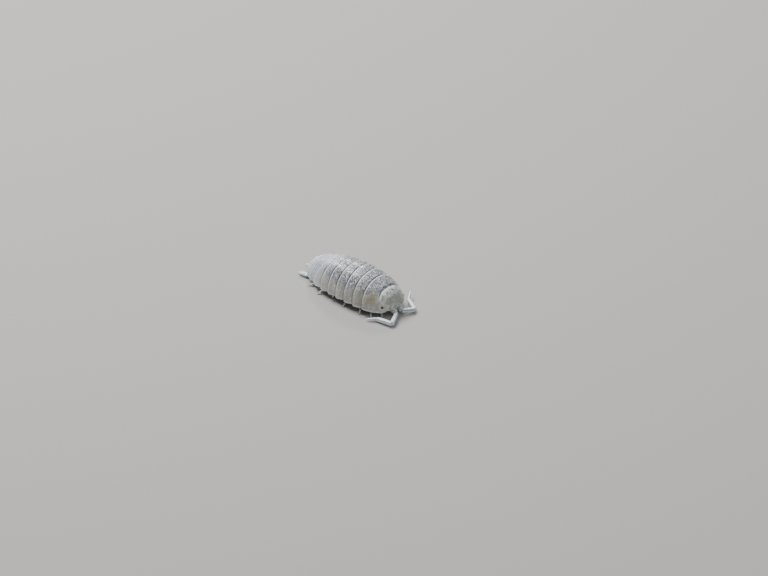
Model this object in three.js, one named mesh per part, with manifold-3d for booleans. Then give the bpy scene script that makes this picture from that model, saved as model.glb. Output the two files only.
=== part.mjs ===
// A dwarf white woodlouse at life size, in millimetres, +Z up, head towards +X, standing on its fourteen feet.
// Every body ring, leg, feeler joint and tail limb is a closed solid of its own.
import * as THREE from "three";
import { mergeVertices } from "three/addons/utils/BufferGeometryUtils.js";
import Module from "manifold-3d";

const wasm = await Module();
wasm.setup();

// Driving sizes of the whole animal
const BODY_FRONT = 2.55;
const BODY_REAR = -2.6;
const HALF_WIDTH = 1.06;
const WIDEST_X = 0.6;
const BACK_HEIGHT = 1.55;
const HIGHEST_X = 0.2;
const MARGIN_Z = 0.28;
const TAIL_MARGIN_Z = 0.19;
const ARCH_POWER = 2.2;
const GAP = 0.02;

// A tergite's rear lip lies over the neck of the next one
const LIP = 0.05;
const LAP = 0.09;
const ARCH_STEPS = 20;

// Underside from the plate's edge to the middle: share of the half width, share of the height over the edge
const UNDERSIDE = [
  [0.955, 0.004],
  [0.92, 0.07],
  [0.84, 0.15],
  [0.7, 0.185],
  [0.5, 0.15],
  [0.25, 0.12],
  [0, 0.112],
];

// Each body ring behind the head: rear edge along the back, how far its corners sweep back, share of the width
const PEREON = [
  { rear: 1.42, sweep: 0.0, share: 1 },
  { rear: 0.96, sweep: 0.02, share: 1 },
  { rear: 0.49, sweep: 0.04, share: 1 },
  { rear: 0.05, sweep: 0.07, share: 1 },
  { rear: -0.38, sweep: 0.11, share: 1 },
  { rear: -0.78, sweep: 0.19, share: 1 },
  { rear: -1.15, sweep: 0.34, share: 1 },
];
const PLEON = [
  { rear: -1.29, sweep: 0.34, share: 0.86, lift: 0.09 },
  { rear: -1.43, sweep: 0.3, share: 0.86, lift: 0.09 },
  { rear: -1.64, sweep: 0.26, share: 1 },
  { rear: -1.85, sweep: 0.26, share: 1 },
  { rear: -2.06, sweep: 0.16, share: 1 },
];
const NECK_X = 1.95;
const LOBE_REACH = 0.4;
const LOBE_POWER = 7;
const SWEEP_POWER = 3;

const HEAD = { x: 1.9, rear: 1.82, reach: 0.66, half: 0.775, z: 0.38, top: 0.77, bottom: 0.13 };
const EYE = { x: 2.25, z: 0.56, radius: 0.06 };

const SHELL = new THREE.MeshStandardMaterial({ color: 0xdcdad2, roughness: 0.45, metalness: 0 });
const LIMB = new THREE.MeshStandardMaterial({ color: 0xd3dade, roughness: 0.4, metalness: 0 });
const BELLY = new THREE.MeshStandardMaterial({ color: 0xd8d4c8, roughness: 0.5, metalness: 0 });
const DARK = new THREE.MeshStandardMaterial({ color: 0x0a0908, roughness: 0.2, metalness: 0 });

const v3 = (x, y, z) => new THREE.Vector3(x, y, z);

// Share of a full size that is left at a distance from the place where it is largest
function swell(distance, reach, power, fall) {
  const u = Math.min(Math.abs(distance) / reach, 1);
  return Math.pow(1 - Math.pow(u, power), fall);
}

function halfWidthAt(x) {
  return x > WIDEST_X
    ? HALF_WIDTH * swell(x - WIDEST_X, BODY_FRONT - WIDEST_X, 3, 0.5)
    : HALF_WIDTH * swell(x - WIDEST_X, WIDEST_X - BODY_REAR, 2.6, 0.8);
}

function marginAt(x) {
  const tail = THREE.MathUtils.smoothstep(-x, 0.3, 1.7);
  return THREE.MathUtils.lerp(MARGIN_Z, TAIL_MARGIN_Z, tail);
}

function topAt(x) {
  const low = 0.2;
  const share =
    x > HIGHEST_X
      ? swell(x - HIGHEST_X, BODY_FRONT + 0.1 - HIGHEST_X, 2.4, 0.5)
      : swell(x - HIGHEST_X, HIGHEST_X - BODY_REAR, 2.6, 0.68);
  return low + (BACK_HEIGHT - low) * share;
}

// One closed outline of a body ring: the arch over the back, then the hollow underside.
function outline(ring) {
  const { x, inset, share, shift, under, corner = 0, lift = 0, tall = 1 } = ring;
  const points = [];
  for (let i = 0; i <= ARCH_STEPS; i += 1) {
    const angle = (Math.PI * i) / ARCH_STEPS;
    const across = Math.sign(Math.cos(angle)) * Math.pow(Math.abs(Math.cos(angle)), 2 / ARCH_POWER);
    const px = x + shift(Math.abs(across) * share);
    const half = halfWidthAt(px) * share - inset;
    const edge = marginAt(px) + inset + corner + lift;
    const top = edge + (topAt(px) - inset - edge) * tall;
    const up = i === 0 || i === ARCH_STEPS ? 0 : Math.pow(Math.sin(angle), 2 / ARCH_POWER);
    points.push(v3(px, -half * across, edge + (top - edge) * up));
  }
  const below = [...UNDERSIDE, ...UNDERSIDE.slice(0, -1).reverse().map(([f, z]) => [-f, z])];
  for (const [f, rise] of below) {
    const px = x + shift(Math.abs(f) * share);
    const half = halfWidthAt(px) * share - inset;
    const edge = marginAt(px) + inset + corner + lift;
    points.push(v3(px + under - x, f * half, edge + (topAt(px) - marginAt(px)) * tall * rise));
  }
  return points;
}

// Triangles that close a rounded ring of points: a fan from its first point.
const fan = (n) => Array.from({ length: n - 2 }, (_, k) => [0, k + 1, k + 2]);

// Triangles that close a body ring's outline: a strip between the arch and the underside, from right to left.
function strip() {
  const last = ARCH_STEPS + UNDERSIDE.length * 2 - 1;
  const archY = (i) => -Math.pow(Math.abs(Math.cos((Math.PI * i) / ARCH_STEPS)), 2 / ARCH_POWER);
  const belowF = [...UNDERSIDE.map(([f]) => -f), ...UNDERSIDE.slice(0, -1).map(([f]) => f).reverse()];
  const triangles = [];
  let i = 0;
  let j = 0;
  while (i < ARCH_STEPS || j < belowF.length - 1) {
    const nextArch = i < ARCH_STEPS ? archY(i + 1) * (i + 1 > ARCH_STEPS / 2 ? -1 : 1) : Infinity;
    const nextBelow = j < belowF.length - 1 ? belowF[j + 1] : Infinity;
    if (nextArch <= nextBelow) {
      triangles.push([i, i + 1, last - j]);
      i += 1;
    } else {
      triangles.push([last - j - 1, last - j, i]);
      j += 1;
    }
  }
  return triangles;
}

// A closed geometry through rings of equal length, with its first and last rings filled in.
function loft(rings, ends = fan(rings[0].length)) {
  const n = rings[0].length;
  const position = rings.flat().flatMap((p) => [p.x, p.y, p.z]);
  const index = [];
  for (let r = 0; r + 1 < rings.length; r += 1) {
    for (let i = 0; i < n; i += 1) {
      const a = r * n + i;
      const b = r * n + ((i + 1) % n);
      index.push(a, b, b + n, a, b + n, a + n);
    }
  }
  const base = (rings.length - 1) * n;
  for (const [a, b, c] of ends) {
    index.push(a, c, b, base + a, base + b, base + c);
  }
  const geometry = new THREE.BufferGeometry();
  geometry.setAttribute("position", new THREE.Float32BufferAttribute(position, 3));
  geometry.setIndex(index);
  return geometry;
}

function solid(geometry) {
  const bare = geometry.clone();
  bare.deleteAttribute("normal");
  bare.deleteAttribute("uv");
  const merged = mergeVertices(bare, 1e-4);
  const build = (triVerts) =>
    new wasm.Manifold(
      new wasm.Mesh({
        numProp: 3,
        vertProperties: new Float32Array(merged.attributes.position.array),
        triVerts,
      }),
    );
  const triVerts = new Uint32Array(merged.index.array);
  const made = build(triVerts);
  if (made.volume() > 0) return made;
  for (let i = 0; i < triVerts.length; i += 3) {
    [triVerts[i + 1], triVerts[i + 2]] = [triVerts[i + 2], triVerts[i + 1]];
  }
  return build(triVerts);
}

// What is left of a solid that keeps a gap from others: each is cut away where it is and moved a little each way,
// along the axes and towards the eight corners.
const ROOM = 0.025;
const WAYS = [[0, 0, 0]];
for (const a of [-1, 1]) {
  WAYS.push([a * ROOM, 0, 0], [0, a * ROOM, 0], [0, 0, a * ROOM]);
  for (const b of [-1, 1]) {
    WAYS.push([0.6 * a * ROOM, 0.6 * b * ROOM, 0.6 * ROOM], [0.6 * a * ROOM, 0.6 * b * ROOM, -0.6 * ROOM]);
  }
}

function clear(shape, ...others) {
  let rest = shape;
  for (const other of others) {
    for (const way of WAYS) {
      rest = rest.subtract(other.translate(way));
    }
  }
  return rest.simplify(0.004);
}

// The largest closed surface of a solid, as a geometry.
function geometryOf(made) {
  const whole = made.decompose().sort((a, b) => b.volume() - a.volume())[0];
  const mesh = whole.getMesh();
  const geometry = new THREE.BufferGeometry();
  geometry.setAttribute("position", new THREE.BufferAttribute(mesh.vertProperties, 3));
  geometry.setIndex(new THREE.BufferAttribute(mesh.triVerts, 1));
  return geometry;
}

const group = new THREE.Group();

function add(name, shape, material) {
  const mesh = new THREE.Mesh(geometryOf(shape), material);
  mesh.name = name;
  group.add(mesh);
}

// Body rings

const rings = [...PEREON, ...PLEON];

// How far a ring's lip lies over the next ring's neck
const lapOf = (front, own) => Math.min(LAP, 0.35 * (front.rear - own.rear));

// A tergite with its soft underside: a neck under the lip in front, and a lip of its own behind.
function bodyRing(number) {
  const front = rings[number - 1];
  const own = rings[number];
  const sweepOf = (sweep) => (f) => -sweep * Math.pow(f, SWEEP_POWER);
  const ahead = sweepOf(front.sweep);
  const behind = sweepOf(own.sweep);
  const between = sweepOf((front.sweep + own.sweep) / 2);
  const neckLap = lapOf(rings[number - 2] ?? { rear: NECK_X }, front);
  const lift = Math.max(front.lift ?? 0, own.lift ?? 0);
  const neck = { inset: LIP + GAP, lift, share: Math.min(front.share, own.share), shift: ahead };
  const last = own.rear + lapOf(front, own) + GAP;
  const start = front.rear;
  const at = (share) => start + (last - start) * share;
  const lip = { inset: LIP, share: own.share, shift: behind };
  const plate = [
    { ...neck, x: start + neckLap, under: start + neckLap },
    { ...neck, x: start, under: start },
    { inset: 0.045, corner: 0.035, share: own.share, shift: ahead, x: start - 0.04, under: at(0.2) },
    { inset: 0.015, share: own.share, shift: between, x: (start + own.rear) / 2, under: at(0.5) },
    { inset: 0, share: own.share, shift: behind, x: own.rear + 0.035, under: at(0.7) },
    { inset: 0.008, corner: 0.015, share: own.share, shift: behind, x: own.rear, under: at(0.8) },
    { ...lip, x: own.rear, under: at(0.9) },
    { ...lip, x: last, under: last },
  ];
  return solid(loft(plate.map((ring) => outline({ lift: own.lift, ...ring })), strip()));
}

// The head: a dome, blunt in front, with a shallow floor.
function head() {
  const steps = 9;
  const around = 24;
  const hoops = [];
  for (let i = 0; i <= steps; i += 1) {
    const along = i === 0 ? 0 : Math.sin((Math.PI / 2) * ((i - 1) / (steps - 1)));
    const x = i === 0 ? HEAD.rear : HEAD.x + HEAD.reach * along * 0.998;
    const size = i === 0 ? 1 : Math.pow(1 - Math.pow(along * 0.998, 2.2), 1 / 2.2);
    const ring = [];
    for (let k = 0; k < around; k += 1) {
      const angle = (2 * Math.PI * k) / around;
      const c = Math.cos(angle);
      const s = Math.sin(angle);
      const y = Math.sign(c) * Math.pow(Math.abs(c), 0.91) * HEAD.half * size;
      const tall = s > 0 ? HEAD.top : HEAD.bottom;
      ring.push(v3(x, y, HEAD.z + Math.sign(s) * Math.pow(Math.abs(s), 0.91) * tall * size));
    }
    hoops.push(ring);
  }
  return solid(loft(hoops));
}

// The first ring: its front edge is hollowed for the head, and its corners reach forward beside it.
function firstRing() {
  const own = PEREON[0];
  const reach = (f) => LOBE_REACH * Math.pow(f, LOBE_POWER);
  const half = (f) => 0.5 * reach(f);
  const still = () => 0;
  const last = own.rear + LAP + GAP;
  const lip = { inset: LIP, share: 1, shift: still };
  const start = NECK_X;
  const plate = [
    { inset: 0.05, share: 1, shift: reach, x: start + 0.005, under: start },
    { inset: 0.01, share: 1, shift: reach, x: start, under: start - 0.03 },
    { inset: 0, share: 1, shift: half, x: start - 0.12, under: start - 0.12 },
    { inset: 0, share: 1, shift: still, x: 1.65, under: 1.68 },
    { inset: 0, share: 1, shift: still, x: own.rear + 0.035, under: last + 0.03 },
    { inset: 0.008, share: 1, shift: still, x: own.rear, under: last + 0.02 },
    { ...lip, x: own.rear, under: last + 0.01 },
    { ...lip, x: last, under: last },
  ];
  return solid(loft(plate.map(outline), strip()));
}

function sphere(x, y, z, radius) {
  const geometry = new THREE.IcosahedronGeometry(radius, 1);
  geometry.translate(x, y, z);
  return solid(geometry);
}

const eyeY = () => {
  const along = (EYE.x - HEAD.x) / HEAD.reach;
  const up = (EYE.z - HEAD.z) / HEAD.top;
  return HEAD.half * Math.pow(1 - Math.pow(along, 2.2) - Math.pow(up, 2.2), 1 / 2.2) - 0.012;
};

const nameOf = (i) => (i < 7 ? `pereonite_${i + 1}` : `pleonite_${i - 6}`);

const dome = head();
const plates = rings.map((_, i) => (i === 0 ? clear(firstRing(), dome) : bodyRing(i)));
plates.forEach((plate, i) => add(nameOf(i), plate, SHELL));

const eyeOut = eyeY();
const sides = [
  ["right", -1],
  ["left", 1],
];
let skull = dome;
for (const [side, sign] of sides) {
  skull = skull.subtract(sphere(EYE.x, sign * eyeOut, EYE.z, EYE.radius + GAP));
  add(`eye_${side}`, sphere(EYE.x, sign * eyeOut, EYE.z, EYE.radius), DARK);
}
add("head", skull, SHELL);

// Limbs

// A limb along a line of stations, each with its radius; the section is flattened across the limb's own plane.
function limb(stations, { sides: count = 8, flat = 1, level = null, plane = v3(0, 0, 1) } = {}) {
  const points = stations.map(([p]) => p);
  const hoops = stations.map(([p, radius], i) => {
    const next = points[Math.min(i + 1, points.length - 1)];
    const prev = points[Math.max(i - 1, 0)];
    let along = next.clone().sub(prev).normalize();
    if (level && level.includes(i)) along = v3(0, 0, along.z < 0 ? -1 : 1);
    const across = plane.clone().addScaledVector(along, -plane.dot(along)).normalize();
    const other = along.clone().cross(across);
    const ring = [];
    for (let k = 0; k < count; k += 1) {
      const angle = (2 * Math.PI * (k + 0.5)) / count;
      ring.push(
        p
          .clone()
          .addScaledVector(across, radius * flat * Math.cos(angle))
          .addScaledVector(other, radius * Math.sin(angle)),
      );
    }
    return ring;
  });
  return solid(loft(hoops));
}

// Stations of one joint of a limb between two points: thin at both ends, full in the middle.
function article(from, to, start, full, end, peak = 0.45) {
  const at = (share) => from.clone().lerp(to, share);
  return [
    [at(0), start * 0.8],
    [at(0.08), start],
    [at(0.25), (start + full) / 2],
    [at(peak), full],
    [at(0.93), end],
    [at(1), end * 0.8],
  ];
}

// Feelers: three short joints under the head, a fourth, a long fifth, and a thin lash of two joints.
const FEELERS = {
  right: [v3(2.44, -0.21, 0.34), v3(2.63, -0.2, 0.22), v3(2.96, -0.86, 0.16), v3(2.22, -0.95, 0.13), v3(1.83, -1.25, 0.09)],
  left: [v3(2.44, 0.2, 0.34), v3(2.63, 0.13, 0.2), v3(2.93, 0.62, 0.15), v3(2.25, 1.0, 0.15), v3(1.97, 1.46, 0.3)],
};
const FEELER_RADIUS = { base: 0.105, fourth: 0.1, fifth: 0.1, lash: 0.066, tip: 0.014 };

for (const [side] of sides) {
  const [root, third, fourth, fifth, tip] = FEELERS[side];
  const r = FEELER_RADIUS;
  const shorten = (a, b, cut) => a.clone().lerp(b, cut / a.distanceTo(b));
  const elbow = 0.03;
  const stem = [
    [root, 0.1],
    [root.clone().lerp(third, 0.3), 0.115],
    [root.clone().lerp(third, 0.42), 0.095],
    [root.clone().lerp(third, 0.6), r.base],
    [root.clone().lerp(third, 0.95), 0.085],
  ];
  let before = clear(limb(stem), dome);
  add(`antenna_${side}_base`, before, LIMB);
  const joints = [
    [`antenna_${side}_article_4`, third, fourth, 0.078, r.fourth, 0.092],
    [`antenna_${side}_article_5`, fourth, fifth, 0.078, r.fifth, 0.084],
  ];
  for (const [name, from, to, start, full, end] of joints) {
    const a = shorten(from, to, elbow);
    const b = shorten(to, from, elbow);
    const stretch = article(a, b, start, full, end, 0.7);
    before = clear(limb(stretch, { sides: 10 }), before);
    add(name, before, LIMB);
  }
  const first = shorten(fifth, tip, elbow * 0.7);
  const along = (share) => first.clone().lerp(tip, share);
  const lash = limb([
    [along(0), r.lash * 0.8],
    [along(0.05), r.lash],
    [along(0.27), r.lash],
    [along(0.3), r.lash * 0.8],
    [along(0.34), r.lash * 0.95],
    [along(0.6), r.lash * 0.66],
    [along(0.85), r.lash * 0.34],
    [along(1), r.tip],
  ]);
  add(`antenna_${side}_flagellum`, clear(lash, before), LIMB);
}

// Legs: root under each of the seven rings, and the foot on the floor
const LEG_ROOT = { y: 0.36, under: 0.09 };
const BELLY_RISE = 0.134;
const FEET = [
  { root: 1.7, bend: 0.05, right: [2.2, 0.62], left: [2.22, 0.66] },
  { root: 1.22, bend: 0.05, right: [1.86, 0.93], left: [1.72, 0.98] },
  { root: 0.74, bend: 0.05, right: [1.31, 1.02], left: [1.16, 1.0] },
  { root: 0.3, bend: 0.05, right: [0.4, 1.04], left: [0.5, 1.05] },
  { root: -0.14, bend: 0.05, right: [-0.42, 0.84], left: [-0.5, 1.0] },
  { root: -0.56, bend: -0.02, right: [-1.05, 1.02], left: [-1.16, 0.98] },
  { root: -0.93, bend: -0.07, right: [-1.78, 0.76], left: [-1.7, 0.82] },
];

// A leg from root to floor: share of the way out, height as a share of the root's, half thickness
const LEG_STATIONS = [
  [0.06, 0.97, 0.066],
  [0.22, 0.9, 0.086],
  [0.37, 0.81, 0.07],
  [0.4, 0.79, 0.056],
  [0.47, 0.74, 0.068],
  [0.53, 0.7, 0.056],
  [0.6, 0.64, 0.064],
  [0.66, 0.58, 0.05],
  [0.73, 0.51, 0.057],
  [0.8, 0.42, 0.038],
  [0.88, 0.27, 0.041],
  [0.95, 0.13, 0.03],
  [1, 0.06, 0.024],
  [1, 0, 0.022],
];

FEET.forEach((leg, i) => {
  for (const [side, sign] of sides) {
    const [footX, footY] = leg[side];
    const out = v3(footX - leg.root, sign * (footY - LEG_ROOT.y), 0);
    const belly = THREE.MathUtils.lerp(marginAt(leg.root), topAt(leg.root), BELLY_RISE);
    const aside = v3(-out.y, out.x, 0).normalize().multiplyScalar(-sign * leg.bend);
    const stations = LEG_STATIONS.map(([share, height, radius]) => {
      const bend = Math.sin(Math.PI * share);
      const spot = v3(leg.root, sign * LEG_ROOT.y, 0).addScaledVector(out, share).addScaledVector(aside, bend);
      return [spot.setZ((belly - LEG_ROOT.under) * height), radius];
    });
    const plane = out.clone().normalize().cross(v3(0, 0, 1));
    const blank = limb(stations, { plane, flat: 0.85, level: [stations.length - 1, stations.length - 2] });
    add(`leg_${side}_${i + 1}`, i === 0 ? clear(blank, dome, plates[0]) : blank, LIMB);
  }
});

// Tail

// A flat lobe along a line: each station has its half width and half thickness.
function lobe(stations, count = 8) {
  const hoops = stations.map(([p, wide, thick], i) => {
    const next = stations[Math.min(i + 1, stations.length - 1)][0];
    const prev = stations[Math.max(i - 1, 0)][0];
    const along = next.clone().sub(prev).normalize();
    const across = along.clone().cross(v3(0, 0, 1)).normalize();
    const up = across.clone().cross(along);
    const ring = [];
    for (let k = 0; k < count; k += 1) {
      const angle = (2 * Math.PI * (k + 0.5)) / count;
      ring.push(
        p
          .clone()
          .addScaledVector(across, wide * Math.cos(angle))
          .addScaledVector(up, thick * Math.sin(angle)),
      );
    }
    return ring;
  });
  return solid(loft(hoops));
}

// The last plate: its neck lies under the lip of the fifth tail ring, and it narrows and falls to a blunt tip.
function tailPlate() {
  const front = rings[11];
  const ahead = (f) => -front.sweep * Math.pow(f, SWEEP_POWER);
  const still = () => 0;
  const neck = { inset: LIP + GAP, share: 1, shift: ahead };
  const stations = [
    { ...neck, x: front.rear + lapOf(rings[10], front) },
    { ...neck, x: front.rear },
    { x: front.rear - 0.04, inset: 0.05, share: 0.97, shift: ahead },
    { x: -2.2, inset: 0.03, share: 0.84, tall: 0.92, shift: (f) => 0.5 * ahead(f) },
    { x: -2.3, inset: 0.02, share: 0.7, tall: 0.8, shift: still },
    { x: -2.4, inset: 0.01, share: 0.52, tall: 0.62, shift: still },
    { x: -2.48, inset: 0.01, share: 0.4, tall: 0.42, shift: still },
    { x: -2.52, inset: 0.01, share: 0.25, tall: 0.2, shift: still },
  ];
  return solid(loft(stations.map((ring) => outline({ under: ring.x, ...ring })), strip()));
}

const telson = tailPlate();
add("telson", telson, SHELL);

const TAIL_LIMB = { right: { reach: -0.12, out: -0.05 }, left: { reach: 0.06, out: -0.03 } };

for (const [side, sign] of sides) {
  const at = (x, y, z) => v3(x, sign * y, z);
  const { reach, out } = TAIL_LIMB[side];
  const base = lobe([
    [at(-2.11, 0.24, 0.125), 0.07, 0.04],
    [at(-2.2, 0.265, 0.125), 0.085, 0.048],
    [at(-2.33, 0.295, 0.13), 0.12, 0.055],
    [at(-2.42, 0.31, 0.135), 0.1, 0.055],
  ]);
  const outer = lobe([
    [at(-2.35, 0.33, 0.135), 0.05, 0.045],
    [at(-2.5 - reach * 0.3, 0.36 + out * 0.3, 0.135), 0.07, 0.055],
    [at(-2.7 - reach * 0.6, 0.385 + out * 0.6, 0.12), 0.06, 0.045],
    [at(-2.86 - reach, 0.4 + out, 0.1), 0.03, 0.025],
    [at(-2.93 - reach, 0.405 + out, 0.095), 0.012, 0.012],
  ]);
  const inner = lobe([
    [at(-2.26, 0.25, 0.125), 0.04, 0.03],
    [at(-2.42, 0.215, 0.12), 0.04, 0.032],
    [at(-2.56, 0.205, 0.11), 0.034, 0.03],
    [at(-2.68, 0.21, 0.1), 0.022, 0.02],
    [at(-2.76, 0.21, 0.095), 0.01, 0.01],
  ]);
  const whole = base.add(outer).add(inner);
  add(`uropod_${side}`, whole, SHELL);
}

// Under the tail: five pairs of thin flaps, each reaching under the next
let flaps = null;
for (let i = 0; i < 5; i += 1) {
  const x = -1.28 - i * 0.17;
  const wide = 0.32 - i * 0.03;
  for (const [, sign] of sides) {
    const flap = lobe([
      [v3(x + 0.06, sign * wide * 0.55, 0.32), wide * 0.5, 0.035],
      [v3(x - 0.1, sign * wide * 0.58, 0.29), wide * 0.56, 0.03],
      [v3(x - 0.22, sign * wide * 0.56, 0.255), wide * 0.4, 0.022],
    ]);
    flaps = flaps ? flaps.add(flap) : flap;
  }
}
add("pleopods", clear(flaps, ...plates.slice(6), telson), BELLY);

// Under the head: the mouth's blunt cone of jaws
const mouth = lobe(
  [
    [v3(1.98, 0, 0.24), 0.3, 0.09],
    [v3(2.16, 0, 0.21), 0.3, 0.1],
    [v3(2.34, 0, 0.23), 0.2, 0.07],
  ],
  12,
);
add("mouthparts", clear(mouth, dome, plates[0]), BELLY);

// Origin: the middle of the bounding box, on the floor
const whole = new THREE.Box3().setFromObject(group);
const shift = whole.getCenter(v3(0, 0, 0)).setZ(whole.min.z);
for (const mesh of group.children) {
  mesh.geometry.translate(-shift.x, -shift.y, -shift.z);
}

export default group;
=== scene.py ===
# %% [markdown]
# # A dwarf white woodlouse, dressed in Blender
# The animal is five millimetres long: a head, seven back plates over the legs, five small ones over the
# tail, a blunt last plate, two feelers and two tail limbs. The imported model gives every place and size.
# This lesson lays the real surface over it: thin overlapping shell plates, a soft belly, jointed limbs and
# thousands of fan-shaped scales. The animal's lengths are in millimetres until place() turns them to
# metres, because small round numbers are easier to read. The camera, lamps and floor are in metres.

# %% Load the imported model
import math
import random

import bpy
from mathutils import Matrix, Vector


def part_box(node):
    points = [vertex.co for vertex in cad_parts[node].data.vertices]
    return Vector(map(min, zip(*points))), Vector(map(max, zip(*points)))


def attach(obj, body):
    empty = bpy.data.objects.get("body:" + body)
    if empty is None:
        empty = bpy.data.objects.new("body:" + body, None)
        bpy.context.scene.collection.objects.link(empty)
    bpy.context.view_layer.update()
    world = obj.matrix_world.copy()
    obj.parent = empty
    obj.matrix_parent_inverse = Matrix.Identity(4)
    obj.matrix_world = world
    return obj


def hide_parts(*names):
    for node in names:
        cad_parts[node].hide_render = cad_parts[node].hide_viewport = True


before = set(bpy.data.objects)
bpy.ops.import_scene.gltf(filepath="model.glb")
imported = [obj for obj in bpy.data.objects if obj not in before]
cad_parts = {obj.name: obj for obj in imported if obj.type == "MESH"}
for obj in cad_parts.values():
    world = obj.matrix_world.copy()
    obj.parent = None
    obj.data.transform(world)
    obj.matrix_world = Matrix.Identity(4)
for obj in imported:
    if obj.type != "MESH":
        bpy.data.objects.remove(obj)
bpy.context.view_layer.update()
MM = 0.001
HEAD_FRONT = 2.5587
random.seed(7)

head_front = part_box("head")[1][0]
eye_boxes = [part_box("eye_right"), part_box("eye_left")]
ORIGIN = Vector((head_front - HEAD_FRONT * MM, sum(low[1] + high[1] for low, high in eye_boxes) / 4, 0))


def place(x, y, z):
    return ORIGIN + Vector((x, y, z)) * MM


print("middle of the body in the model's frame, mm:", [round(v / MM, 4) for v in ORIGIN])

# %% [markdown]
# ## Camera
# The photograph looks down at the animal's right side from ahead: 48.5 degrees round from its front and 32
# degrees up. The camera could be aimed at the animal and its picture shifted, but a shift would follow into
# other views, so it aims at a point beside the animal, which puts the animal left of the picture's middle.
# A long lens keeps the view nearly parallel, as in a photograph of something this small.

# %% Camera
SIDE = math.radians(48.5)
RISE = math.radians(32.0)
DISTANCE = 0.1788
AIM_RIGHT = 1.324
AIM_UP = 0.239
to_camera = Vector((math.cos(RISE) * math.cos(SIDE), -math.cos(RISE) * math.sin(SIDE), math.sin(RISE)))
picture_right = Vector((math.sin(SIDE), math.cos(SIDE), 0))
picture_up = to_camera.cross(picture_right)
aim = place(0, 0, 0) + (picture_right * AIM_RIGHT + picture_up * AIM_UP) * MM

bpy.ops.object.select_all(action="DESELECT")
bpy.ops.object.camera_add(location=aim + to_camera * DISTANCE)
camera = bpy.context.object
camera.name = "camera"
camera.rotation_euler = to_camera.to_track_quat("Z", "Y").to_euler()
camera.data.lens = 200
camera.data.sensor_width = 36
camera.data.clip_start = 0.001
camera.data.clip_end = 10
bpy.context.scene.camera = camera
print("camera at", [round(v, 4) for v in camera.location])

# %% [markdown]
# ## Floor and lights
# A plain pale floor carries the shadow. One bright lamp would give hard shadows and one bare sky none at
# all, so the light is mixed as under an open window: a large lamp high on the left and behind, a weaker one
# on the camera's side, a small one behind the far side that lights the ridge, and a dim grey world that
# fills the shadows.

# %% Floor
bpy.ops.mesh.primitive_plane_add(size=0.6, location=(0, 0, 0))
floor = bpy.context.object
floor.name = "floor"
floor_finish = bpy.data.materials.new("floor_paper")
floor_finish.use_nodes = True
floor_shader = floor_finish.node_tree.nodes["Principled BSDF"]
floor_shader.inputs["Base Color"].default_value = (0.42, 0.41, 0.39, 1)
floor_shader.inputs["Roughness"].default_value = 0.9
floor.data.materials.append(floor_finish)


# %% Lights
def soft_light(name, toward, distance, size, power):
    bpy.ops.object.light_add(type="AREA", location=aim + Vector(toward).normalized() * distance)
    lamp = bpy.context.object
    lamp.name = name
    lamp.data.size = size
    lamp.data.energy = power
    lamp.rotation_euler = Vector(toward).to_track_quat("Z", "Y").to_euler()
    return lamp


high_left = picture_up * 0.9 - picture_right * 0.35 + to_camera * 0.15
soft_light("sky_light", high_left, 0.12, 0.06, 0.2)
soft_light("front_light", to_camera * 0.8 + picture_up * 0.5 + picture_right * 0.3, 0.14, 0.08, 0.04)
soft_light("back_light", (-0.5, 0.62, 0.6), 0.12, 0.022, 0.05)
world = bpy.data.worlds.new("grey_sky")
world.use_nodes = True
world.node_tree.nodes["Background"].inputs["Color"].default_value = (0.75, 0.8, 0.86, 1)
world.node_tree.nodes["Background"].inputs["Strength"].default_value = 0.28
bpy.context.scene.world = world

# %% [markdown]
# ## A helper for shader sums
# A pattern is a sum of noises and masks. Its nodes could be made and linked one by one, but a long finish
# is hard to read that way. One small class wraps a node's socket instead, so that a sum is written as
# ordinary Python and each step adds its own node. Inputs are named by their label, or i0, i1 and so on by
# their number.


# %% Shader helper
class Wire:
    def __init__(self, tree, socket):
        self.tree = tree
        self.socket = socket

    def node(self, kind, settings=None, out=0, **values):
        new = self.tree.nodes.new(kind)
        for key, value in (settings or {}).items():
            setattr(new, key, value)
        for key, value in values.items():
            name = int(key[1:]) if key[0] == "i" and key[1:].isdigit() else key.replace("_", " ")
            if isinstance(value, Wire):
                self.tree.links.new(value.socket, new.inputs[name])
            else:
                new.inputs[name].default_value = value
        return Wire(self.tree, new.outputs[out])

    def sum(self, kind, a, b=0.0):
        return self.node("ShaderNodeMath", {"operation": kind}, i0=a, i1=b)

    def __add__(self, other):
        return self.sum("ADD", self, other)

    def __radd__(self, other):
        return self.sum("ADD", other, self)

    def __sub__(self, other):
        return self.sum("SUBTRACT", self, other)

    def __rsub__(self, other):
        return self.sum("SUBTRACT", other, self)

    def __mul__(self, other):
        return self.sum("MULTIPLY", self, other)

    def __rmul__(self, other):
        return self.sum("MULTIPLY", other, self)

    def __truediv__(self, other):
        return self.sum("DIVIDE", self, other)

    def smooth(self, low, high):
        settings = {"interpolation_type": "SMOOTHSTEP"}
        return self.node("ShaderNodeMapRange", settings, Value=self, From_Min=low, From_Max=high)

    def blend(self, a, b):
        return self.node("ShaderNodeMix", {"data_type": "RGBA"}, out=2, i0=self, i6=a, i7=b)


def new_finish(name):
    finish = bpy.data.materials.new(name)
    finish.use_nodes = True
    tree = finish.node_tree
    shader = tree.nodes["Principled BSDF"]
    coords = tree.nodes.new("ShaderNodeTexCoord")
    return finish, tree, shader, Wire(tree, coords.outputs["Object"])


def noise_of(coords, scale, detail=3.0, rough=0.55):
    return coords.node("ShaderNodeTexNoise", Vector=coords, Scale=scale, Detail=detail, Roughness=rough)


def feed(tree, shader, coords, base, rough, relief, depth):
    bump = coords.node("ShaderNodeBump", Strength=0.5, Distance=depth, Height=relief)
    tree.links.new(base.socket, shader.inputs["Base Color"])
    tree.links.new(rough.socket, shader.inputs["Roughness"])
    tree.links.new(bump.socket, shader.inputs["Normal"])


def rgb(red, green, blue):
    return (red, green, blue, 1)


print("shader helper ready: noises, sums, masks and blends")

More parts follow.
